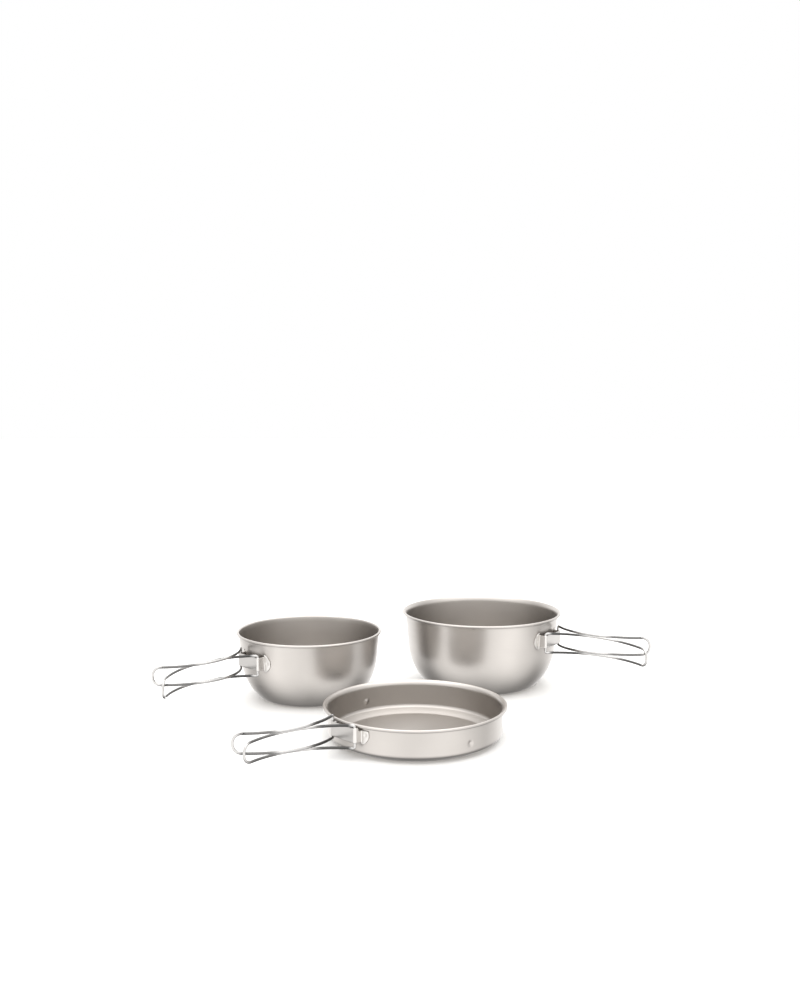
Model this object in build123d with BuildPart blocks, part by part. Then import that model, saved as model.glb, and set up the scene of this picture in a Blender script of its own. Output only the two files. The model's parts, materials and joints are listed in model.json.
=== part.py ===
from build123d import *
import os
from dataclasses import dataclass
from math import asin, cos, radians, sin, sqrt, tan

# Camping cook set: a large pot, a small pot and a frying pan, each drawn from thin
# titanium sheet, with a folding handle of two wire loops hinged in a stamped bracket.
# Origin: centre of the large pot's underside. +X to the right along the row of pots,
# +Y away from the pan, +Z up. Everything stands on z = 0. Millimetres and degrees.

# ---- Sheet and wire ----------------------------------------------------------------
sheet = 0.6                  # vessel wall thickness
bead_diameter = 2.4          # outside diameter of the rolled rim bead
bead_turn = 245.0            # how far the sheet is curled round to make the bead
strap = 0.8                  # bracket sheet thickness
wire_diameter = 2.2          # handle wire
pin_clearance = 0.06         # radial running clearance of a pin in its bracket corner

# ---- Bracket (the same stamping on all three vessels) ------------------------------
pin_spacing = 26.0           # between the two hinge pins
pin_standoff = 5.3           # from the vessel's wall out to the pin circle
bridge_height = 11.6         # raised middle of the bracket
ear_span = 42.4              # over the two round ears
ear_height = 16.5            # each ear, also the diameter of its round end
weld_diameter = 3.4          # shallow dent left by a spot weld
weld_depth = 0.25
rim_clearance = 0.3          # bracket to the underside and edge of the rim

# ---- Wire loops --------------------------------------------------------------------
loop_root_gap = 17.8         # upper to lower wire of one loop at its pins, wire centres
loop_tip_gap = 14.8          # the same at the tip
pin_bend = 1.8               # wire centre radius where an arm turns into its pin
tip_bend = 7.0               # wire centre radius at the two tip corners
pin_length = 7.8             # bend corner to the pin's end
bow_tighter = 6.0            # an arm's bow has this much less radius than the pin circle
loop_stagger = 1.35          # one loop rides this much high in the bracket, the other this much low

wire_radius = wire_diameter / 2
corner_radius = wire_radius + pin_clearance + strap / 2      # bracket sheet centre round a pin
bead_radius = (bead_diameter - sheet) / 2                    # curl of the rim, sheet centre


@dataclass
class Loop:
    side: int            # +1 on the right of someone facing the bracket, -1 on the left
    level: int           # +1 rides high in the bracket, -1 rides low
    toe_in: float        # open position: start of the arm leans this far across the bracket
    rise: float          # height gained along an arm by its tip


@dataclass
class Vessel:
    name: str
    x: float             # centre of the underside
    y: float
    wall_radius: float   # outside of the wall just under the flare
    height: float        # over the rim bead
    lean: float          # the wall leans out by this angle
    floor_bend: float    # sheet centre radius where the floor turns up
    floor_rise: float    # slope reached by the floor bend
    bevel: float         # straight slope between the two bends
    wall_bend: float     # sheet centre radius that turns the slope up into the wall
    flare: float         # the rim flares out by this angle
    flare_radius: float
    azimuth: float       # direction of the handle, from +X
    hinge_height: float  # middle of the bracket
    reach: float         # how far each arm curves round, about the vessel's own circle
    loops: tuple
    dimples: bool = False


vessels = [
    Vessel("large_pot", x=0.0, y=0.0, wall_radius=72.65, height=71.0, lean=4.6,
           floor_bend=14.0, floor_rise=46.0, bevel=0.0, wall_bend=55.0,
           flare=40.0, flare_radius=6.4, azimuth=-34.8, hinge_height=52.2, reach=77.0,
           loops=(Loop(side=+1, level=+1, toe_in=46.9, rise=4.0),
                  Loop(side=-1, level=-1, toe_in=45.3, rise=-3.2))),
    Vessel("small_pot", x=-162.6, y=-44.7, wall_radius=64.7, height=61.5, lean=5.1,
           floor_bend=13.0, floor_rise=46.0, bevel=0.0, wall_bend=52.0,
           flare=20.0, flare_radius=2.2, azimuth=-137.2, hinge_height=42.6, reach=92.0,
           loops=(Loop(side=-1, level=+1, toe_in=54.8, rise=1.7),
                  Loop(side=+1, level=-1, toe_in=47.0, rise=-4.3))),
    Vessel("frying_pan", x=-66.4, y=-169.6, wall_radius=71.2, height=28.0, lean=0.0,
           floor_bend=5.0, floor_rise=28.0, bevel=6.6, wall_bend=4.0,
           flare=65.0, flare_radius=4.4, azimuth=-137.2, hinge_height=20.0, reach=68.0,
           loops=(Loop(side=-1, level=+1, toe_in=28.0, rise=2.0),
                  Loop(side=+1, level=-1, toe_in=56.0, rise=-2.8)),
           dimples=True),
]

# ---- Wall dimples of the pan -------------------------------------------------------
dimple_radius = 3.2          # of the rounded punch
dimple_depth = 1.0           # how far the wall is pushed in
dimple_height = 12.5         # above the underside
dimple_angles = (83.0, -97.0)    # from the handle


# ---- Places worked out from the sizes ----------------------------------------------
def frame_plane(v):
    """Horizontal plane on the vessel's own axis, x along its handle."""
    direction = (cos(radians(v.azimuth)), sin(radians(v.azimuth)), 0)
    return Plane(origin=(v.x, v.y, 0), x_dir=direction, z_dir=(0, 0, 1))


def section_plane(v):
    """Upright plane through the vessel's axis and the middle of its bracket."""
    ground = frame_plane(v)
    return Plane(origin=ground.origin, x_dir=ground.x_dir, z_dir=-ground.y_dir)


def upright_axis(v):
    return Axis((v.x, v.y, 0), (0, 0, 1))


def rim_slope(v):
    """Slope of the sheet from upright where the flare ends and the bead starts."""
    return radians(v.lean + v.flare)


def flare_start(v):
    """Height of the sheet centre where the straight wall ends and the flare starts."""
    flare_rise = v.flare_radius * (sin(rim_slope(v)) - sin(radians(v.lean)))
    bead_rise = bead_radius * (1 - sin(rim_slope(v))) + sheet / 2
    return v.height - flare_rise - bead_rise


def rim_radius(v):
    """Outside of the rim bead."""
    flare_reach = v.flare_radius * (cos(radians(v.lean)) - cos(rim_slope(v)))
    bead_reach = bead_radius * (1 + cos(rim_slope(v))) + sheet / 2
    return sheet_radius_at(v, flare_start(v)) + flare_reach + bead_reach


def wall_radius_at(v, z):
    """Outside of the leaning wall at a height, carried on past its two ends."""
    return v.wall_radius - (flare_start(v) - z) * tan(radians(v.lean))


def sheet_radius_at(v, z):
    """Middle of the sheet in the leaning wall at a height."""
    return wall_radius_at(v, z) - sheet / 2 / cos(radians(v.lean))


def pin_circle(v):
    """Radius about the vessel's axis on which both hinge pins stand."""
    return wall_radius_at(v, v.hinge_height) + pin_standoff


def bow_radius(v):
    """Wire centre radius of the long bow in an arm."""
    return pin_circle(v) - bow_tighter


def pin_out(v):
    """Distance of the pins from the vessel's axis, measured along the handle."""
    return sqrt(pin_circle(v) ** 2 - (pin_spacing / 2) ** 2)


def weld_planes(v):
    """Planes on the outer faces of the ears, facing away from the wall at the spot welds."""
    ear_middle = (ear_span + pin_spacing) / 4 + corner_radius / 2
    out = wall_radius_at(v, v.hinge_height) + strap
    lean = radians(v.lean)
    planes = []
    for side in (+1, -1):
        turn = radians(v.azimuth) + side * asin(ear_middle / out)
        centre = (v.x + out * cos(turn), v.y + out * sin(turn), v.hinge_height)
        planes.append(Plane(origin=centre, z_dir=(cos(turn) * cos(lean), sin(turn) * cos(lean), -sin(lean))))
    return planes


def floor_corner(v):
    """Radius of the flat floor, and the height at which the corner meets the straight wall."""
    slope = radians(v.floor_rise)
    upright = radians(90 - v.lean)
    bends_up = v.floor_bend * (1 - cos(slope)) + v.wall_bend * (cos(slope) - cos(upright))
    corner_top = sheet / 2 + bends_up + v.bevel * sin(slope)
    bends_out = v.floor_bend * sin(slope) + v.wall_bend * (sin(upright) - sin(slope))
    return sheet_radius_at(v, corner_top) - bends_out - v.bevel * cos(slope), corner_top


# ---- Vessel: one sheet, floor to rolled rim ----------------------------------------
def dimple_spots(v):
    """Centres of the round punches that press the dimples into the wall."""
    press = v.wall_radius - dimple_depth + dimple_radius
    turns = [radians(v.azimuth + angle) for angle in dimple_angles]
    return [(v.x + press * cos(turn), v.y + press * sin(turn), dimple_height) for turn in turns]


def make_dimple_backs(v):
    """Sheet pushed in behind each punch, as two rounded caps inside the wall."""
    with BuildPart() as backs:
        with Locations(*dimple_spots(v)):
            Sphere(dimple_radius + sheet)
        with BuildSketch(frame_plane(v)):
            Circle(v.wall_radius - sheet / 2)
        extrude(amount=v.height, mode=Mode.INTERSECT)
    return backs.part


def make_body(v):
    flat, corner_top = floor_corner(v)
    wall_length = (flare_start(v) - corner_top) / cos(radians(v.lean))
    backs = make_dimple_backs(v) if v.dimples else None
    with BuildPart() as body:
        with BuildSketch(section_plane(v)):
            with BuildLine():
                floor_line = Line((0, sheet / 2), (flat, sheet / 2))
                rise = JernArc(floor_line @ 1, floor_line % 1, v.floor_bend, v.floor_rise)
                if v.bevel > 0:
                    rise = PolarLine(rise @ 1, v.bevel, v.floor_rise)
                turn = JernArc(rise @ 1, rise % 1, v.wall_bend, 90 - v.lean - v.floor_rise)
                wall = PolarLine(turn @ 1, wall_length, 90 - v.lean)
                lip = JernArc(wall @ 1, wall % 1, v.flare_radius, -v.flare)
                JernArc(lip @ 1, lip % 1, bead_radius, -bead_turn)
            trace(line_width=sheet)
        revolve(axis=upright_axis(v))
        if backs is not None:
            add(backs)
            with Locations(*dimple_spots(v)):
                Sphere(dimple_radius, mode=Mode.SUBTRACT)
    return body.part


# ---- Bracket: bridge over both pins, an ear on each side ----------------------------
def make_bracket(v):
    ground = frame_plane(v)
    low = v.hinge_height - ear_height
    high = v.hinge_height + ear_height
    with BuildPart() as bracket:
        # Ears: a thin layer lying on the leaning wall, trimmed to the outline with round ends.
        with BuildSketch(section_plane(v)):
            Polygon((wall_radius_at(v, low), low), (wall_radius_at(v, low) + strap, low),
                    (wall_radius_at(v, high) + strap, high), (wall_radius_at(v, high), high),
                    align=None)
        revolve(axis=upright_axis(v))
        facing = Plane(origin=ground.origin, x_dir=ground.y_dir, z_dir=ground.x_dir)
        with BuildSketch(facing):
            with Locations((0, v.hinge_height)):
                SlotOverall(ear_span, ear_height)
                Rectangle(pin_spacing + 2 * corner_radius, ear_height, mode=Mode.SUBTRACT)
        extrude(amount=2 * pin_circle(v), mode=Mode.INTERSECT)
        # Bridge: the strap rises off the wall, rounds each pin and runs straight between them.
        with BuildSketch(ground.offset(v.hinge_height - bridge_height / 2)):
            front = pin_out(v) + corner_radius
            side = pin_spacing / 2 + corner_radius
            root = wall_radius_at(v, v.hinge_height) / 2
            with BuildLine():
                FilletPolyline((root, side), (front, side), (front, -side), (root, -side),
                               radius=corner_radius)
            trace(line_width=strap)
        extrude(amount=bridge_height)
        # The wall and the rim keep their own space.
        with BuildSketch(section_plane(v)):
            Polygon((0, low), (wall_radius_at(v, low), low), (wall_radius_at(v, high), high),
                    (0, high), align=None)
        revolve(axis=upright_axis(v), mode=Mode.SUBTRACT)
        with BuildSketch(section_plane(v)):
            under_rim = flare_start(v) - rim_clearance
            over_rim = v.height + ear_height
            with Locations(((rim_radius(v) + rim_clearance) / 2, (under_rim + over_rim) / 2)):
                Rectangle(rim_radius(v) + rim_clearance, over_rim - under_rim)
        revolve(axis=upright_axis(v), mode=Mode.SUBTRACT)
        # A spot weld leaves a shallow round dent in the middle of each ear.
        for weld in weld_planes(v):
            with BuildSketch(weld.offset(-weld_depth)):
                Circle(weld_diameter / 2)
            extrude(amount=strap, mode=Mode.SUBTRACT)
    return bracket.part


# ---- Wire loop: pin, arm, tip, arm, pin in one bent wire ----------------------------
def make_loop(v, loop):
    """The arms bow a little tighter than the pin circle, so the folded tip closes on the wall."""
    tangent = bow_radius(v) * tan(radians(v.reach / 2))
    start = radians(-loop.side * loop.toe_in)
    finish = radians(loop.side * (v.reach - loop.toe_in))
    root = Vector(pin_out(v), loop.side * pin_spacing / 2)
    bow = root + Vector(cos(start), sin(start)) * (pin_bend + tangent)
    tip = bow + Vector(cos(finish), sin(finish)) * (tangent + tip_bend)
    middle = v.hinge_height + loop.level * loop_stagger

    def at(point, share, gap, up):
        return Vector(point.X, point.Y, middle + share * loop.rise + up * gap / 2)

    bow_gap = (loop_root_gap + loop_tip_gap) / 2
    points = [at(root, 0, loop_root_gap - 2 * pin_length, +1)]
    for up in (+1, -1):
        arm = [at(root, 0, loop_root_gap, up), at(bow, 0.5, bow_gap, up), at(tip, 1, loop_tip_gap, up)]
        points += arm if up > 0 else arm[::-1]
    points.append(at(root, 0, loop_root_gap - 2 * pin_length, -1))
    bends = [pin_bend, bow_radius(v), tip_bend, tip_bend, bow_radius(v), pin_bend]
    ground = frame_plane(v)
    with BuildPart() as wire:
        with BuildLine():
            route = FilletPolyline(*[ground.from_local_coords(p) for p in points], radius=bends)
        with BuildSketch(Plane(origin=route @ 0, z_dir=route % 0)):
            Circle(wire_radius)
        sweep()
    return wire.part


# ---- Build and write every piece ----------------------------------------------------
os.makedirs("parts", exist_ok=True)


def write(part, label):
    part.label = label
    export_step(part, "parts/" + label + ".step")


for vessel in vessels:
    write(make_body(vessel), vessel.name + "_body")
    write(make_bracket(vessel), vessel.name + "_bracket")
    for one in vessel.loops:
        hand = "right" if one.side > 0 else "left"
        write(make_loop(vessel, one), vessel.name + "_" + hand + "_loop")
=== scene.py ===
import json
from dataclasses import dataclass
from math import asin, atan2, cos, degrees, hypot, pi, radians, sin, sqrt, tan

import bmesh
import bpy
from mathutils import Matrix, Vector

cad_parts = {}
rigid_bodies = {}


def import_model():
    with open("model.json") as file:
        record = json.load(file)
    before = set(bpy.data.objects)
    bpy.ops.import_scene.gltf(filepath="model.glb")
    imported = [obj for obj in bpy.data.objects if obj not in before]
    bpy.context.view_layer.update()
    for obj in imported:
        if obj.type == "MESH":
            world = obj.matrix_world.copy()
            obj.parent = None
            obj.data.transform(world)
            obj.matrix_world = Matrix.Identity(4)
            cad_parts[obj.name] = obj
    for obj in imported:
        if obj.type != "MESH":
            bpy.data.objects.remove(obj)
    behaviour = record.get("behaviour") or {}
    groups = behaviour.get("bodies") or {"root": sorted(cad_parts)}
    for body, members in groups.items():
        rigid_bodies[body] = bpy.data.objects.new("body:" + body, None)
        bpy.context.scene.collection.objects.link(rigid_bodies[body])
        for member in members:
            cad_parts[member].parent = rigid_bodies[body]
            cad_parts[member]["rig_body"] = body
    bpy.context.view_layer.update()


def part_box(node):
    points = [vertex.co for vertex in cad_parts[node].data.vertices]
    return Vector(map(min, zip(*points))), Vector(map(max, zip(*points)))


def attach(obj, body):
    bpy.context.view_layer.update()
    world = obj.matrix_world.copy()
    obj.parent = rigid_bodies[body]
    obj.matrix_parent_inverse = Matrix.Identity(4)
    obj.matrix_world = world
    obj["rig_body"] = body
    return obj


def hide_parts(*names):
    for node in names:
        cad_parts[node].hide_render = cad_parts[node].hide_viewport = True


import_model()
MM = 0.001

# ---- Sizes that all three vessels share, in millimetres ------------------------------
SHEET = 0.6
BEAD = 2.4
BEAD_TURN = 245.0
WIRE = 2.2
STRAP = 0.8
PIN_CLEARANCE = 0.06
PIN_SPACING = 26.0
PIN_STANDOFF = 5.3
LOOP_ROOT_GAP = 17.8
LOOP_TIP_GAP = 14.8
PIN_BEND = 1.8
TIP_BEND = 7.0
PIN_LENGTH = 7.8
BOW_TIGHTER = 6.0
LOOP_STAGGER = 1.35
DIMPLE_TURN = 83.0
BRIDGE_HEIGHT = 11.6
EAR_SPAN = 42.4
EAR_HEIGHT = 16.5
RIM_CLEARANCE = 0.3
WELD_RADIUS = 1.7
WELD_DEPTH = 0.25
ROOT_BEND = 1.1
EDGE_ROUND = 0.25
DIMPLE_RADIUS = 3.4
DIMPLE_HEIGHT = 12.5
# A pressed sheet wanders this far from true, over waves of this length.
WAVINESS = 0.05
WAVE_LENGTH = 45.0

# ---- How finely the pieces are drawn -------------------------------------------------
# The dimpled pan needs closer columns and rows than the plain pots, in columns and millimetres.
PLAIN_COLUMNS, DIMPLED_COLUMNS = 288, 400
PLAIN_ROW, DIMPLED_ROW = 1.8, 0.7
STRAP_ROWS = 32
WIRE_SIDES = 24
# A wire bend gets nine steps, and one more for each 2 mm of its radius.
BEND_STEPS, BEND_STEPS_PER_MM = 9.0, 0.5
# Points closer than this become one, in millimetres. Sharper edges than this stay sharp, in degrees.
SHEET_MERGE, STRAP_MERGE = 0.0001, 0.001
SHARP_EDGE, SHARP_STRAP_EDGE = 50, 60


@dataclass
class Loop:
    side: int
    level: int
    toe_in: float
    rise: float


@dataclass
class Vessel:
    name: str
    lean: float
    floor_bend: float
    floor_rise: float
    bevel: float
    wall_bend: float
    flare: float
    flare_radius: float
    azimuth: float
    hinge_height: float
    reach: float
    loops: tuple
    dimple_depth: float = 0.0
    crowding: float = 0.0

    def __post_init__(self):
        low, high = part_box(self.name + "_body")
        self.x = (low.x + high.x) / 2 / MM
        self.y = (low.y + high.y) / 2 / MM
        self.height = high.z / MM
        self.rim = (high.x - low.x) / 2 / MM


VESSELS = [
    Vessel("large_pot", lean=4.6, floor_bend=14.0, floor_rise=46.0, bevel=0.0, wall_bend=55.0,
           flare=40.0, flare_radius=6.4, azimuth=-34.8, hinge_height=52.2, reach=77.0,
           loops=(Loop(+1, +1, 46.9, 4.0), Loop(-1, -1, 45.3, -3.2))),
    Vessel("small_pot", lean=5.1, floor_bend=13.0, floor_rise=46.0, bevel=0.0, wall_bend=52.0,
           flare=20.0, flare_radius=2.2, azimuth=-137.2, hinge_height=42.6, reach=92.0,
           loops=(Loop(-1, +1, 54.8, 1.7), Loop(+1, -1, 47.0, -4.3))),
    Vessel("frying_pan", lean=0.0, floor_bend=5.0, floor_rise=28.0, bevel=6.6, wall_bend=4.0,
           flare=65.0, flare_radius=4.4, azimuth=-137.2, hinge_height=20.0, reach=68.0,
           loops=(Loop(-1, +1, 28.0, 2.0), Loop(+1, -1, 56.0, -2.8)),
           dimple_depth=1.0, crowding=0.6),
]


# ---- Small helpers -------------------------------------------------------------------
def linear(hex_colour):
    """sRGB hex to the linear colour that Blender works in."""
    parts = [int(hex_colour[i:i + 2], 16) / 255 for i in (1, 3, 5)]
    return tuple(c / 12.92 if c <= 0.04045 else ((c + 0.055) / 1.055) ** 2.4 for c in parts) + (1.0,)


def grey(value):
    return (value, value, value, 1.0)


def add_node(tree, kind, links=None, **settings):
    """Adds a node. links maps an input to a value or to the output that feeds it."""
    node = tree.nodes.new(kind)
    for name, value in settings.items():
        setattr(node, name, value)
    for key, value in (links or {}).items():
        if isinstance(value, bpy.types.NodeSocket):
            tree.links.new(value, node.inputs[key])
        else:
            node.inputs[key].default_value = value
    return node


def new_tree(name, inputs):
    """A geometry tree with the named inputs, as (tree, its group input node)."""
    tree = bpy.data.node_groups.new(name, "GeometryNodeTree")
    tree.interface.new_socket("Geometry", in_out="INPUT", socket_type="NodeSocketGeometry")
    for label, kind in inputs.items():
        tree.interface.new_socket(label, in_out="INPUT", socket_type="NodeSocket" + kind)
    tree.interface.new_socket("Geometry", in_out="OUTPUT", socket_type="NodeSocketGeometry")
    return tree, tree.nodes.new("NodeGroupInput")


def close_tree(tree, geometry, material):
    """Ends a tree: real geometry, smooth, with its material."""
    real = add_node(tree, "GeometryNodeRealizeInstances", {"Geometry": geometry})
    smooth = add_node(tree, "GeometryNodeSetShadeSmooth", {"Geometry": real.outputs[0]})
    painted = add_node(tree, "GeometryNodeSetMaterial",
                       {"Geometry": smooth.outputs[0], "Material": material})
    add_node(tree, "NodeGroupOutput", {0: painted.outputs[0]})
    return tree


def grow(name, start, tree, sizes):
    """Runs a tree on a starting mesh with its sizes, and keeps the result as a plain mesh object."""
    seed = bpy.data.objects.new(name + "_start", start)
    bpy.context.scene.collection.objects.link(seed)
    modifier = seed.modifiers.new("grow", "NODES")
    modifier.node_group = tree
    for item in tree.interface.items_tree:
        if item.in_out == "INPUT" and item.name in sizes:
            modifier[item.identifier] = sizes[item.name]
    seen = seed.evaluated_get(bpy.context.evaluated_depsgraph_get())
    mesh = bpy.data.meshes.new_from_object(seen)
    mesh.name = name
    bpy.data.objects.remove(seed)
    piece = bpy.data.objects.new(name, mesh)
    bpy.context.scene.collection.objects.link(piece)
    return piece


def chain(points, attributes=None):
    """A mesh of points joined in a row by edges, with named numbers on its points."""
    mesh = bpy.data.meshes.new("chain")
    mesh.from_pydata([tuple(p) for p in points], [(i, i + 1) for i in range(len(points) - 1)], [])
    for label, values in (attributes or {}).items():
        mesh.attributes.new(label, "FLOAT", "POINT").data.foreach_set("value", values)
    return mesh


class Trail:
    """A line drawn as straight runs and bends, kept as (x, y, heading) stations in millimetres."""

    def __init__(self, x, y, heading=0.0):
        self.x, self.y, self.heading = x, y, heading
        self.stations = [(x, y, heading)]

    def run(self, length, steps):
        """Goes straight on."""
        for _ in range(steps):
            self.x += length / steps * cos(self.heading)
            self.y += length / steps * sin(self.heading)
            self.stations.append((self.x, self.y, self.heading))

    def bend(self, radius, turn, longest=1.6):
        """Turns left by that many degrees, or right if it is negative."""
        steps = max(6, round(abs(turn) / 6), round(abs(radians(turn)) * radius / longest))
        part = radians(turn) / steps
        chord = 2 * radius * sin(abs(part) / 2)
        for _ in range(steps):
            self.x += chord * cos(self.heading + part / 2)
            self.y += chord * sin(self.heading + part / 2)
            self.heading += part
            self.stations.append((self.x, self.y, self.heading))


# ---- Materials -----------------------------------------------------------------------
def new_material(name):
    material = bpy.data.materials.new(name)
    material.use_nodes = True
    tree = material.node_tree
    return material, tree, tree.nodes["Principled BSDF"]


# Painted shade: the inside walls are darkened towards this brown-grey, by this share, to stand in for the
# shade inside the vessels.
INSIDE_SHADE_COLOUR = linear("#4F453B")
INSIDE_SHADE_SHARE = 0.24
# Sizes of the patterns on titanium, in millimetres. Blasting grit is far finer than it is drawn
# here, and so are the tool's marks, because their real size would not show.
CLOUD_SIZE = 30
GRIT_SIZE = 0.5
MARK_WIDTH = 0.8
ROUGHNESS_SPREAD = 0.03
# The marks run round: a whole radian counts as so many millimetres, and so does the strap's length
# as a share of itself. The strap's two faces are set apart, so that their marks differ.
MARK_MM_PER_RADIAN = 1.5
MARK_SHARE_ALONG_STRAP = 0.05
MARK_FACE_APART = 10


def spun_titanium(name, light, dark, roughness, grain, spin):
    """Titanium sheet, drawn on a press and blasted: warm grey and satin, with faint marks that run
    round it. It spreads a lamp into a broad soft patch, a little drawn out across the marks."""
    material, tree, shader = new_material(name)
    place = add_node(tree, "ShaderNodeTexCoord").outputs["Object"]
    ring = add_node(tree, "ShaderNodeAttribute", attribute_name="ring").outputs["Vector"]
    clouds = add_node(tree, "ShaderNodeTexNoise",
                      {"Vector": place, "Scale": 1 / (CLOUD_SIZE * MM), "Detail": 3.0})
    grit = add_node(tree, "ShaderNodeTexNoise",
                    {"Vector": place, "Scale": 1 / (GRIT_SIZE * MM), "Detail": 2.0})
    marks = add_node(tree, "ShaderNodeTexNoise",
                     {"Vector": ring, "Scale": 1 / (MARK_WIDTH * MM), "Detail": 3.0})
    tone = add_node(tree, "ShaderNodeMix",
                    {"Factor": clouds.outputs[0], "A": linear(dark), "B": linear(light)},
                    data_type="RGBA").outputs["Result"]
    # Painted shade: the inside walls' colour is pulled towards a darker brown-grey, by the share that is
    # stored on the shell.
    dull = add_node(tree, "ShaderNodeAttribute", attribute_name="dull").outputs["Fac"]
    dull = add_node(tree, "ShaderNodeMath", {0: dull, 1: INSIDE_SHADE_SHARE}, operation="MULTIPLY").outputs[0]
    tone = add_node(tree, "ShaderNodeMix", {"Factor": dull, "A": tone, "B": INSIDE_SHADE_COLOUR},
                    data_type="RGBA").outputs["Result"]
    tree.links.new(tone, shader.inputs["Base Color"])
    spread = add_node(tree, "ShaderNodeMapRange",
                      {"Value": marks.outputs[0], "From Min": 0.3, "From Max": 0.7,
                       "To Min": roughness - ROUGHNESS_SPREAD, "To Max": roughness + ROUGHNESS_SPREAD})
    tree.links.new(spread.outputs[0], shader.inputs["Roughness"])
    both = add_node(tree, "ShaderNodeMath", {0: grit.outputs[0], 1: marks.outputs[0]}, operation="ADD")
    bump = add_node(tree, "ShaderNodeBump",
                    {"Height": both.outputs[0], "Distance": grain * MM, "Strength": 0.5})
    tree.links.new(bump.outputs[0], shader.inputs["Normal"])
    shader.inputs["Metallic"].default_value = 1.0
    shader.inputs["Anisotropic"].default_value = spin
    shader.inputs["Anisotropic Rotation"].default_value = 0.25
    return material


def brightness_ramp(tree, factor, stops):
    """A smooth grey ramp through (place, value) stops."""
    ramp = add_node(tree, "ShaderNodeValToRGB", {0: factor})
    ramp.color_ramp.interpolation = "EASE"
    while len(ramp.color_ramp.elements) < len(stops):
        ramp.color_ramp.elements.new(0.5)
    for element, (place, value) in zip(ramp.color_ramp.elements, stops):
        element.position = place
        element.color = grey(value)
    return ramp.outputs[0]


# Painted dark reflections, on an arm's root and towards its tip, as (way along the arm,
# share of the bright metal left).
PAINTED_DARK_REFLECTIONS = [(0.0, 1.0), (0.08, 0.9), (0.12, 0.12), (0.3, 0.16), (0.42, 1.0),
             (0.6, 1.0), (0.7, 0.3), (0.88, 0.3), (0.94, 1.0)]
# Drawing marks on wire are finer than this. They are drawn as wide as they need to show.
WIRE_GRAIN = 1.5
WIRE_GRAIN_DEPTH = 0.01


def polished_steel():
    """Stainless wire, drawn through a die and polished: it mirrors the room, and painted dark
    reflections leave bright stretches between near black ones."""
    material, tree, shader = new_material("polished_stainless_wire")
    place = add_node(tree, "ShaderNodeTexCoord").outputs["Object"]
    grain = add_node(tree, "ShaderNodeTexNoise",
                     {"Vector": place, "Scale": 1 / (WIRE_GRAIN * MM), "Detail": 3.0})
    tone = add_node(tree, "ShaderNodeMix",
                    {"Factor": grain.outputs[0], "A": linear("#B4B2B0"), "B": linear("#C4C2C0")},
                    data_type="RGBA").outputs["Result"]
    arm = add_node(tree, "ShaderNodeAttribute", attribute_name="arm").outputs["Fac"]
    # Painted dark reflections: stretches of each arm are darkened to near black.
    film = brightness_ramp(tree, arm, PAINTED_DARK_REFLECTIONS)
    tone = add_node(tree, "ShaderNodeMix", {"Factor": 1.0, "A": tone, "B": film}, data_type="RGBA",
                    blend_type="MULTIPLY").outputs["Result"]
    tree.links.new(tone, shader.inputs["Base Color"])
    spread = add_node(tree, "ShaderNodeMapRange", {"Value": grain.outputs[0], "To Min": 0.08, "To Max": 0.16})
    tree.links.new(spread.outputs[0], shader.inputs["Roughness"])
    bump = add_node(tree, "ShaderNodeBump",
                    {"Height": grain.outputs[0], "Distance": WIRE_GRAIN_DEPTH * MM, "Strength": 0.4})
    tree.links.new(bump.outputs[0], shader.inputs["Normal"])
    shader.inputs["Metallic"].default_value = 1.0
    return material


VESSEL_METAL = spun_titanium("satin_drawn_titanium", light="#BDB8B3", dark="#B3AEA9",
                             roughness=0.36, grain=0.003, spin=0.3)
# Strip stock, cut and bent after rolling: paler and smoother than the drawn sheet, with no spin.
BRACKET_METAL = spun_titanium("satin_titanium_strap", light="#D2CFCB", dark="#CAC6C2",
                              roughness=0.34, grain=0.0004, spin=0.0)
WIRE_METAL = polished_steel()


# ---- Vessels: one turned sheet each --------------------------------------------------
# The painted inside shade fades out over these heights, in millimetres: at the floor corner and at the bead.
FADE_BELOW, FADE_ABOVE = 3, 2


def painted_shade_at(height, low, high):
    """How much painted shade is on the inside wall at a height."""
    return min(1.0, max(0.0, (height - low) / FADE_BELOW), max(0.0, (high - height) / FADE_ABOVE))


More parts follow.
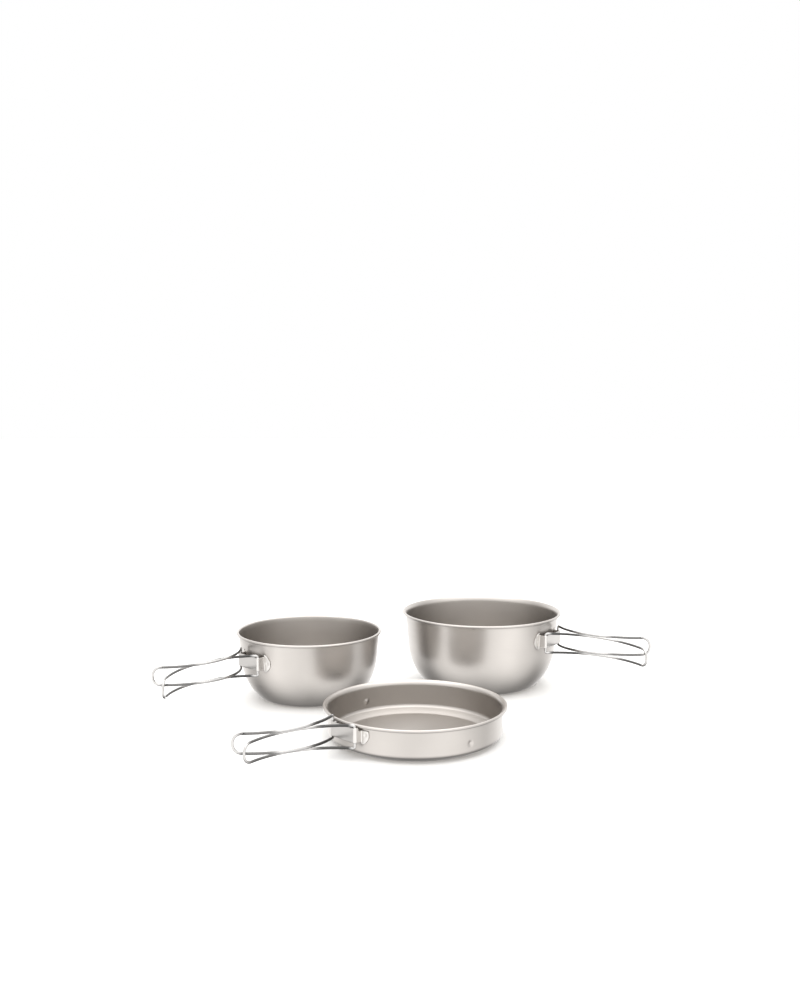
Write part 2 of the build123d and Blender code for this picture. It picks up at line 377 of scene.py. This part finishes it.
def sheet_section(v):
    """The sheet's section, floor to bead and back, as (radius, height) in millimetres, and the share of
    painted shade at each point.
    """
    trail = Trail(0.0, SHEET / 2)
    lean, slope, rim_slope = radians(v.lean), radians(v.floor_rise), radians(v.lean + v.flare)
    bead = (BEAD - SHEET) / 2
    flare_rise = v.flare_radius * (sin(rim_slope) - sin(lean)) + bead * (1 - sin(rim_slope)) + SHEET / 2
    flare_reach = v.flare_radius * (cos(lean) - cos(rim_slope)) + bead * (1 + cos(rim_slope)) + SHEET / 2
    top = v.height - flare_rise
    bends_up = v.floor_bend * (1 - cos(slope)) + v.wall_bend * (cos(slope) - sin(lean))
    bends_out = v.floor_bend * sin(slope) + v.wall_bend * (cos(lean) - sin(slope))
    corner_top = SHEET / 2 + bends_up + v.bevel * sin(slope)
    corner_radius = v.rim - flare_reach - (top - corner_top) * tan(lean)
    flat = corner_radius - bends_out - v.bevel * cos(slope)
    trail.run(flat, 10)
    trail.bend(v.floor_bend, v.floor_rise)
    if v.bevel:
        trail.run(v.bevel, 6)
    trail.bend(v.wall_bend, 90 - v.lean - v.floor_rise)
    wall = (top - corner_top) / cos(lean)
    trail.run(wall, round(wall / (DIMPLED_ROW if v.dimple_depth else PLAIN_ROW)))
    trail.bend(v.flare_radius, -v.flare)
    trail.bend(bead, -BEAD_TURN)
    outer = [(x + SHEET / 2 * sin(h), z - SHEET / 2 * cos(h)) for x, z, h in trail.stations]
    inner = [(x - SHEET / 2 * sin(h), z + SHEET / 2 * cos(h)) for x, z, h in trail.stations]
    v.flare_top, v.wall_radius = top, v.rim - flare_reach + SHEET / 2 / cos(lean)
    # Painted shade: only the inside wall, between the floor corner and the bead, is darkened.
    film = [0.0] * len(outer) + [painted_shade_at(z, corner_top / 2, v.height - BEAD) for _, z in inner[::-1]]
    return [(max(r, 0.0), z) for r, z in outer + inner[::-1]], film


def turned_sheet_tree():
    """Turns a section round its axis, presses two dimples, and lets the sheet wander a hair from true."""
    tree, given = new_tree("turned_sheet", {
        "Segments": "Int", "Crowding": "Float", "Dimple Depth": "Float", "Dimple Radius": "Float",
        "Dimple Place": "Vector", "Waviness": "Float", "Seed": "Float", "Place": "Vector", "Turn": "Vector"})
    given = given.outputs
    count = add_node(tree, "GeometryNodeAttributeDomainSize", {0: given["Geometry"]}).outputs[0]
    columns = add_node(tree, "ShaderNodeMath", {0: given["Segments"], 1: 1.0}, operation="ADD").outputs[0]
    grid = add_node(tree, "GeometryNodeMeshGrid", {"Vertices X": columns, "Vertices Y": count})
    index = add_node(tree, "GeometryNodeInputIndex").outputs[0]
    row = add_node(tree, "ShaderNodeMath", {0: index, 1: count}, operation="MODULO").outputs[0]
    column = add_node(tree, "ShaderNodeMath", {0: index, 1: count}, operation="DIVIDE").outputs[0]
    column = add_node(tree, "ShaderNodeMath", {0: column}, operation="FLOOR").outputs[0]
    share = add_node(tree, "ShaderNodeMath", {0: column, 1: given["Segments"]}, operation="DIVIDE").outputs[0]
    even = add_node(tree, "ShaderNodeMath", {0: share, 1: 2 * pi}, operation="MULTIPLY").outputs[0]
    double = add_node(tree, "ShaderNodeMath", {0: even, 1: 2.0}, operation="MULTIPLY").outputs[0]
    wave = add_node(tree, "ShaderNodeMath", {0: double}, operation="SINE").outputs[0]
    pull = add_node(tree, "ShaderNodeMath", {0: given["Crowding"], 1: -0.5}, operation="MULTIPLY").outputs[0]
    angle = add_node(tree, "ShaderNodeMath", {0: wave, 1: pull, 2: even}, operation="MULTIPLY_ADD").outputs[0]
    here = add_node(tree, "GeometryNodeInputPosition").outputs[0]
    section = add_node(tree, "GeometryNodeSampleIndex",
                       {"Geometry": given["Geometry"], "Value": here, "Index": row},
                       data_type="FLOAT_VECTOR").outputs[0]
    # The section's painted inside shade is carried round onto the shell.
    film = add_node(tree, "GeometryNodeInputNamedAttribute", {"Name": "film"}, data_type="FLOAT").outputs[0]
    film = add_node(tree, "GeometryNodeSampleIndex",
                    {"Geometry": given["Geometry"], "Value": film, "Index": row},
                    data_type="FLOAT").outputs[0]
    turned = add_node(tree, "ShaderNodeVectorRotate", {"Vector": section, "Angle": angle},
                      rotation_type="Z_AXIS").outputs[0]
    shell = add_node(tree, "GeometryNodeSetPosition",
                     {"Geometry": grid.outputs[0], "Position": turned}).outputs[0]
    # Distances out from the axis, round it and up, for marks that follow the turning.
    parts = add_node(tree, "ShaderNodeSeparateXYZ", {0: section})
    round_way = add_node(tree, "ShaderNodeMath", {0: angle, 1: MARK_MM_PER_RADIAN * MM},
                         operation="MULTIPLY").outputs[0]
    ring = add_node(tree, "ShaderNodeCombineXYZ",
                    {0: parts.outputs[0], 1: round_way, 2: parts.outputs[2]}).outputs[0]
    shell = add_node(tree, "GeometryNodeStoreNamedAttribute",
                     {"Geometry": shell, "Name": "ring", "Value": ring},
                     data_type="FLOAT_VECTOR", domain="POINT").outputs[0]
    shell = add_node(tree, "GeometryNodeStoreNamedAttribute",
                     {"Geometry": shell, "Name": "dull", "Value": film},
                     data_type="FLOAT", domain="POINT").outputs[0]
    # Dimples, one each side: the distance from either is found on the mirrored half.
    half = add_node(tree, "ShaderNodeSeparateXYZ", {0: here})
    half_x = add_node(tree, "ShaderNodeMath", {0: half.outputs[0]}, operation="ABSOLUTE").outputs[0]
    mirrored = add_node(tree, "ShaderNodeCombineXYZ",
                        {0: half_x, 1: half.outputs[1], 2: half.outputs[2]}).outputs[0]
    away = add_node(tree, "ShaderNodeVectorMath", {0: mirrored, 1: given["Dimple Place"]},
                    operation="DISTANCE").outputs["Value"]
    away = add_node(tree, "ShaderNodeMath", {0: away, 1: given["Dimple Radius"]},
                    operation="DIVIDE").outputs[0]
    bowl = add_node(tree, "ShaderNodeMapRange", {"Value": away, "To Min": 1.0, "To Max": 0.0},
                    interpolation_type="SMOOTHSTEP").outputs[0]
    press = add_node(tree, "ShaderNodeMath", {0: bowl, 1: given["Dimple Depth"]},
                     operation="MULTIPLY").outputs[0]
    # Both the press and the wander move the sheet straight out from the axis, or in.
    flat = add_node(tree, "ShaderNodeVectorMath", {0: here, 1: (1.0, 1.0, 0.0)},
                    operation="MULTIPLY").outputs[0]
    out = add_node(tree, "ShaderNodeVectorMath", {0: flat}, operation="NORMALIZE").outputs[0]
    noise = add_node(tree, "ShaderNodeTexNoise",
                     {"Vector": here, "W": given["Seed"], "Scale": 1 / (WAVE_LENGTH * MM), "Detail": 1.0},
                     noise_dimensions="4D").outputs[0]
    drift = add_node(tree, "ShaderNodeMath", {0: noise, 1: 0.5}, operation="SUBTRACT").outputs[0]
    drift = add_node(tree, "ShaderNodeMath", {0: drift, 1: given["Waviness"]},
                     operation="MULTIPLY").outputs[0]
    moved = add_node(tree, "ShaderNodeMath", {0: drift, 1: press}, operation="SUBTRACT").outputs[0]
    offset = add_node(tree, "ShaderNodeVectorMath", {0: out, "Scale": moved}, operation="SCALE").outputs[0]
    shell = add_node(tree, "GeometryNodeSetPosition", {"Geometry": shell, "Offset": offset}).outputs[0]
    shell = add_node(tree, "GeometryNodeMergeByDistance",
                     {"Geometry": shell, "Distance": SHEET_MERGE * MM}).outputs[0]
    shell = add_node(tree, "GeometryNodeTransform",
                     {"Geometry": shell, "Translation": given["Place"],
                      "Rotation": given["Turn"]}).outputs[0]
    return close_tree(tree, shell, VESSEL_METAL)


TURNED_SHEET = turned_sheet_tree()


def make_vessel(v, seed):
    section, film = sheet_section(v)
    start = chain([(r * MM, 0, z * MM) for r, z in section], {"film": film})
    piece = grow(v.name + "_shell", start, TURNED_SHEET, {
        "Segments": DIMPLED_COLUMNS if v.dimple_depth else PLAIN_COLUMNS, "Crowding": v.crowding,
        "Dimple Depth": v.dimple_depth * MM, "Dimple Radius": DIMPLE_RADIUS * MM,
        "Dimple Place": (v.wall_radius * MM, 0.0, DIMPLE_HEIGHT * MM),
        "Waviness": WAVINESS * MM, "Seed": float(seed),
        "Place": (v.x * MM, v.y * MM, 0.0), "Turn": (0.0, 0.0, radians(v.azimuth + DIMPLE_TURN))})
    piece.data.set_sharp_from_angle(angle=radians(SHARP_EDGE))
    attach(piece, v.name)
    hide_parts(v.name + "_body")


# ---- Brackets: one formed strap each -------------------------------------------------
def wall_at(v, height):
    """Outside of the leaning wall at a height, in millimetres from the axis."""
    return v.wall_radius - (v.flare_top - height) * tan(radians(v.lean))


def pin_circle(v):
    """How far from the vessel's axis the pins stand."""
    return wall_at(v, v.hinge_height) + PIN_STANDOFF


def pin_out(v):
    """How far out the pins stand, measured straight along the bracket's middle."""
    return sqrt(pin_circle(v) ** 2 - (PIN_SPACING / 2) ** 2)


def strap_trail(v):
    """The strap's middle line in plan: ear, root bend, flank, pin corner, bridge, and the same back.
    Two counts come with it: stations up to the ear's end, and up to the root bend's."""
    roll = WIRE / 2 + PIN_CLEARANCE + STRAP / 2
    ear_line = wall_at(v, v.hinge_height) + STRAP / 2
    side = PIN_SPACING / 2 + roll
    ear_end = degrees(asin(EAR_SPAN / 2 / ear_line))
    root = degrees(asin(side / ear_line))
    turn = 90 - root
    taken = ROOT_BEND * tan(radians(turn / 2))
    along_ear = ear_end - root - degrees(taken / ear_line)
    flank = pin_out(v) - ear_line * cos(radians(root)) - taken
    trail = Trail(ear_line * cos(radians(ear_end)), ear_line * sin(radians(ear_end)), radians(ear_end - 90))
    trail.bend(ear_line, -along_ear, longest=0.3)
    ear_stations = len(trail.stations)
    trail.bend(ROOT_BEND, turn)
    root_stations = len(trail.stations)
    trail.run(flank, 6)
    trail.bend(roll, -90)
    trail.run(PIN_SPACING / 2, 12)
    half = trail.stations
    stations = half + [(x, -y, pi - heading) for x, y, heading in half[-2::-1]]
    return stations, ear_stations, root_stations


def make_bracket(v):
    """Sweeps the strap's rounded section along its trail, with round ears, weld dents and a rim trim."""
    stations, ear_count, root_count = strap_trail(v)
    last = len(stations) - 1
    gone = [0.0]
    for (ax, ay, _), (bx, by, _) in zip(stations, stations[1:]):
        gone.append(gone[-1] + hypot(bx - ax, by - ay))
    ring = []
    for side in (+1, -1):
        for k in range(STRAP_ROWS + 1):
            ring.append((side, side * (1 - 2 * k / STRAP_ROWS)))
    ear_middle = (gone[ear_count - 1] + EDGE_ROUND) / 2
    under_rim = v.flare_top - RIM_CLEARANCE - v.hinge_height
    points, marks = [], []
    for i, (x, y, heading) in enumerate(stations):
        near = min(i, last - i)
        from_end = min(gone[i], gone[last] - gone[i])
        ear_half = sqrt(max(0.0, EAR_HEIGHT ** 2 / 4 - max(0.0, EAR_HEIGHT / 2 - from_end) ** 2))
        share = min(1.0, max(0.0, (near - ear_count + 1) / (root_count - ear_count)))
        share = share * share * (3 - 2 * share)
        half = ear_half * (1 - share) + BRIDGE_HEIGHT / 2 * share
        top = min(half, under_rim) if hypot(x, y) < v.rim + RIM_CLEARANCE else half
        out = (-sin(heading), cos(heading))
        for side, level in ring:
            height = (top - half) / 2 + (top + half) / 2 * level
            soft = min(1.0, (top + half) / 2 * (1 - abs(level)) / EDGE_ROUND)
            thick = STRAP / 2 * sqrt(max(0.0, 1 - (1 - soft) ** 2))
            dent = 0.0
            if side > 0 and share == 0:
                dent = WELD_DEPTH * max(0.0, 1 - (hypot(from_end - ear_middle, height) / WELD_RADIUS) ** 2)
            lean = height * tan(radians(v.lean)) * (1 - share)
            reach = side * thick - dent
            points.append((x + out[0] * reach + lean * cos(atan2(y, x)),
                           y + out[1] * reach + lean * sin(atan2(y, x)), v.hinge_height + height))
            marks.append((from_end * MM * MARK_SHARE_ALONG_STRAP, height * MM, side * MARK_FACE_APART * MM))
    wide = len(ring)
    faces = [(i * wide + k, i * wide + (k + 1) % wide, (i + 1) * wide + (k + 1) % wide, (i + 1) * wide + k)
             for i in range(last) for k in range(wide)]
    faces += [tuple(range(wide))[::-1], tuple(last * wide + k for k in range(wide))]
    mesh = bpy.data.meshes.new(v.name + "_bracket_strap")
    turn = Matrix.Translation((v.x * MM, v.y * MM, 0)) @ Matrix.Rotation(radians(v.azimuth), 4, "Z")
    mesh.from_pydata([turn @ (Vector(p) * MM) for p in points], [], faces)
    flat_marks = [c for mark in marks for c in mark]
    mesh.attributes.new("ring", "FLOAT_VECTOR", "POINT").data.foreach_set("vector", flat_marks)
    work = bmesh.new()
    work.from_mesh(mesh)
    bmesh.ops.remove_doubles(work, verts=work.verts, dist=STRAP_MERGE * MM)
    bmesh.ops.recalc_face_normals(work, faces=work.faces)
    work.to_mesh(mesh)
    work.free()
    mesh.shade_smooth()
    mesh.set_sharp_from_angle(angle=radians(SHARP_STRAP_EDGE))
    mesh.materials.append(BRACKET_METAL)
    piece = bpy.data.objects.new(mesh.name, mesh)
    bpy.context.scene.collection.objects.link(piece)
    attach(piece, v.name)
    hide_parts(v.name + "_bracket")


# ---- Wire loops ----------------------------------------------------------------------
def bent_wire_tree():
    """Rounds a chain's corners by their own radii and gives it a round section."""
    tree, given = new_tree("bent_wire", {"Wire Radius": "Float", "Sides": "Int"})
    given = given.outputs
    line = add_node(tree, "GeometryNodeMeshToCurve", {0: given["Geometry"]}).outputs[0]
    bend = add_node(tree, "GeometryNodeInputNamedAttribute", {"Name": "bend"}, data_type="FLOAT").outputs[0]
    steps = add_node(tree, "ShaderNodeMath", {0: bend, 1: BEND_STEPS_PER_MM / MM, 2: BEND_STEPS},
                     operation="MULTIPLY_ADD").outputs[0]
    line = add_node(tree, "GeometryNodeFilletCurve", {"Curve": line, "Count": steps, "Radius": bend},
                    mode="POLY").outputs[0]
    # How far along its arm a point is: 0 at the pins, 1 at the middle of the tip.
    along = add_node(tree, "GeometryNodeSplineParameter").outputs["Factor"]
    arm = add_node(tree, "ShaderNodeMath", {0: along, 1: 0.5}, operation="PINGPONG").outputs[0]
    arm = add_node(tree, "ShaderNodeMath", {0: arm, 1: 2.0}, operation="MULTIPLY").outputs[0]
    line = add_node(tree, "GeometryNodeStoreNamedAttribute",
                    {"Geometry": line, "Name": "arm", "Value": arm},
                    data_type="FLOAT", domain="POINT").outputs[0]
    section = add_node(tree, "GeometryNodeCurvePrimitiveCircle",
                       {"Resolution": given["Sides"], "Radius": given["Wire Radius"]}).outputs[0]
    wire = add_node(tree, "GeometryNodeCurveToMesh",
                    {"Curve": line, "Profile Curve": section, "Fill Caps": True}).outputs[0]
    return close_tree(tree, wire, WIRE_METAL)


BENT_WIRE = bent_wire_tree()


def make_loop(v, loop):
    """One wire, pin to pin: root bend, bow round the wall, tip corner, and back along the other arm."""
    hand = "right" if loop.side > 0 else "left"
    node = v.name + "_" + hand + "_loop"
    bow_radius = pin_circle(v) - BOW_TIGHTER
    tangent = bow_radius * tan(radians(v.reach / 2))
    start = radians(-loop.side * loop.toe_in)
    end = radians(loop.side * (v.reach - loop.toe_in))
    root = Vector((pin_out(v), loop.side * PIN_SPACING / 2, 0))
    bow = root + Vector((cos(start), sin(start), 0)) * (PIN_BEND + tangent)
    tip = bow + Vector((cos(end), sin(end), 0)) * (tangent + TIP_BEND)
    middle = v.hinge_height + loop.level * LOOP_STAGGER
    pin_gap = LOOP_ROOT_GAP - 2 * PIN_LENGTH
    bow_gap = (LOOP_ROOT_GAP + LOOP_TIP_GAP) / 2
    stations = [(root, 0, pin_gap, 0), (root, 0, LOOP_ROOT_GAP, PIN_BEND),
                (bow, 0.5, bow_gap, bow_radius), (tip, 1, LOOP_TIP_GAP, TIP_BEND)]
    points, bends = [], []
    for up in (+1, -1):
        for place, share, gap, radius in stations[::up]:
            points.append(Vector((place.x, place.y, middle + share * loop.rise + up * gap / 2)))
            bends.append(radius * MM)
    place = Matrix.Translation((v.x * MM, v.y * MM, 0)) @ Matrix.Rotation(radians(v.azimuth), 4, "Z")
    start_mesh = chain([place @ (p * MM) for p in points], {"bend": bends})
    piece = grow(node + "_wire", start_mesh, BENT_WIRE, {"Wire Radius": WIRE / 2 * MM, "Sides": WIRE_SIDES})
    piece.data.set_sharp_from_angle(angle=radians(SHARP_EDGE))
    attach(piece, node)
    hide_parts(node)


for number, vessel in enumerate(VESSELS):
    make_vessel(vessel, number)
    make_bracket(vessel)
    for one in vessel.loops:
        make_loop(vessel, one)


# ---- Floor, light and camera, in metres and degrees ----------------------------------
FLOOR_HALF = 6.0
# Brightness of the room, as (degrees round from the camera's side towards the right, share) and
# (degrees above the horizon, share).
ROOM_ROUND = [(-180, 0.9), (-145, 0.85), (-114, 0.62), (-101, 0.42), (-88, 0.7), (-50, 0.92),
              (-8, 0.84), (45, 0.92), (88, 0.66), (101, 0.5), (114, 0.66), (145, 0.85), (180, 0.9)]
ROOM_UP = [(-90, 0.2), (-70, 0.5), (-45, 0.92), (-20, 1.0), (15, 0.9), (40, 0.95), (90, 1.0)]
ROOM_STRENGTH = 2.05
# The ceiling light, from nothing to full, as shares of the way from straight down to straight up.
CEILING_FROM, CEILING_FULL, CEILING_LIGHT = 0.72, 0.84, 1.45
# The low far side of the room is dark: how far back and how far down it starts and is full.
BACK_FROM, BACK_FULL = 0.0, 0.3
DOWN_FROM, DOWN_FULL = -0.35, -0.6
SHADE_SHARE, SHADE_LIGHT = 0.85, 0.06
SET_MIDDLE = Vector((-0.085, -0.085, 0.03))
SOFTBOX_WIDTH, SOFTBOX_HEIGHT, SOFTBOX_DISTANCE = 0.6, 1.2, 1.3
CAMERA_PLACE = (-0.0786, -1.0383, 0.2759)
CAMERA_DOWN = 5.40
CAMERA_LENS, CAMERA_SENSOR = 39.27, 36.0


def make_floor():
    """A matt white table top that the steel and titanium don't mirror."""
    mesh = bpy.data.meshes.new("floor")
    corners = [(x * FLOOR_HALF, y * FLOOR_HALF, 0) for x, y in ((-1, -1), (1, -1), (1, 1), (-1, 1))]
    mesh.from_pydata(corners, [], [(0, 1, 2, 3)])
    floor = bpy.data.objects.new("floor", mesh)
    bpy.context.scene.collection.objects.link(floor)
    material, _, shader = new_material("matt_white_table")
    shader.inputs["Base Color"].default_value = linear("#E9E8E6")
    shader.inputs["Roughness"].default_value = 0.9
    mesh.materials.append(material)
    floor.visible_glossy = False


def make_world():
    """A soft white room. Paler and darker uprights round it give the metal its broad bands."""
    world = bpy.data.worlds.new("studio")
    world.use_nodes = True
    tree = world.node_tree
    way = add_node(tree, "ShaderNodeTexCoord").outputs["Generated"]
    parts = add_node(tree, "ShaderNodeSeparateXYZ", {0: way})
    front = add_node(tree, "ShaderNodeMath", {0: parts.outputs[1], 1: -1.0}, operation="MULTIPLY").outputs[0]
    azimuth = add_node(tree, "ShaderNodeMath", {0: parts.outputs[0], 1: front},
                       operation="ARCTAN2").outputs[0]
    azimuth = add_node(tree, "ShaderNodeMapRange",
                       {"Value": azimuth, "From Min": -pi, "From Max": pi}).outputs[0]
    height = add_node(tree, "ShaderNodeMath", {0: parts.outputs[2]}, operation="ARCSINE").outputs[0]
    height = add_node(tree, "ShaderNodeMapRange",
                      {"Value": height, "From Min": -pi / 2, "From Max": pi / 2}).outputs[0]
    rooms = brightness_ramp(tree, azimuth, [(0.5 + turn / 360, value) for turn, value in ROOM_ROUND])
    levels = brightness_ramp(tree, height, [(0.5 + rise / 180, value) for rise, value in ROOM_UP])
    seen = add_node(tree, "ShaderNodeMix", {"Factor": 1.0, "A": rooms, "B": levels}, data_type="RGBA",
                    blend_type="MULTIPLY").outputs["Result"]
    ceiling = add_node(tree, "ShaderNodeMapRange",
                       {"Value": height, "From Min": CEILING_FROM, "From Max": CEILING_FULL}).outputs[0]
    seen = add_node(tree, "ShaderNodeMix", {"Factor": ceiling, "A": seen, "B": grey(CEILING_LIGHT)},
                    data_type="RGBA").outputs["Result"]
    behind = add_node(tree, "ShaderNodeMapRange",
                      {"Value": parts.outputs[1], "From Min": BACK_FROM, "From Max": BACK_FULL})
    below = add_node(tree, "ShaderNodeMapRange",
                     {"Value": parts.outputs[2], "From Min": DOWN_FROM, "From Max": DOWN_FULL,
                      "To Max": SHADE_SHARE})
    shade = add_node(tree, "ShaderNodeMath", {0: behind.outputs[0], 1: below.outputs[0]},
                     operation="MULTIPLY").outputs[0]
    seen = add_node(tree, "ShaderNodeMix", {"Factor": shade, "A": seen, "B": grey(SHADE_LIGHT)},
                    data_type="RGBA").outputs["Result"]
    tree.nodes["Background"].inputs["Strength"].default_value = ROOM_STRENGTH
    tree.links.new(seen, tree.nodes["Background"].inputs["Color"])
    # The camera itself sees plain white paper behind the set.
    paper = add_node(tree, "ShaderNodeBackground", {0: grey(1.0), 1: 1.0})
    path = add_node(tree, "ShaderNodeLightPath")
    mix = add_node(tree, "ShaderNodeMixShader", {0: path.outputs["Is Camera Ray"],
                                                 1: tree.nodes["Background"].outputs[0], 2: paper.outputs[0]})
    tree.links.new(mix.outputs[0], tree.nodes["World Output"].inputs["Surface"])
    bpy.context.scene.world = world


def softbox(name, azimuth, elevation, power, vessel):
    """A soft light for one vessel alone: azimuth from the camera's side towards the right, in degrees."""
    light = bpy.data.lights.new(name, "AREA")
    light.shape = "RECTANGLE"
    light.size, light.size_y, light.energy = SOFTBOX_WIDTH, SOFTBOX_HEIGHT, power
    lamp = bpy.data.objects.new(name, light)
    bpy.context.scene.collection.objects.link(lamp)
    a, e = radians(azimuth), radians(elevation)
    toward = Vector((sin(a) * cos(e), -cos(a) * cos(e), sin(e)))
    lamp.location = SET_MIDDLE + toward * SOFTBOX_DISTANCE
    lamp.rotation_mode = "QUATERNION"
    lamp.rotation_quaternion = toward.to_track_quat("Z", "Y")
    lamp.visible_camera = False
    group = bpy.data.collections.new(name + "_subjects")
    for piece in bpy.data.objects:
        if piece.get("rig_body", "").startswith(vessel) and piece.type == "MESH":
            group.objects.link(piece)
    lamp.light_linking.receiver_collection = group


make_floor()
make_world()
softbox("key_right", azimuth=44, elevation=-8, power=0.45, vessel="large_pot")
softbox("key_left", azimuth=-60, elevation=-8, power=0.6, vessel="small_pot")

camera = bpy.data.objects.new("camera", bpy.data.cameras.new("camera"))
bpy.context.scene.collection.objects.link(camera)
camera.location = CAMERA_PLACE
camera.rotation_euler = (radians(90 - CAMERA_DOWN), 0, 0)
camera.data.lens = CAMERA_LENS
camera.data.sensor_width = CAMERA_SENSOR
bpy.context.scene.camera = camera
bpy.context.scene.view_settings.view_transform = "Standard"
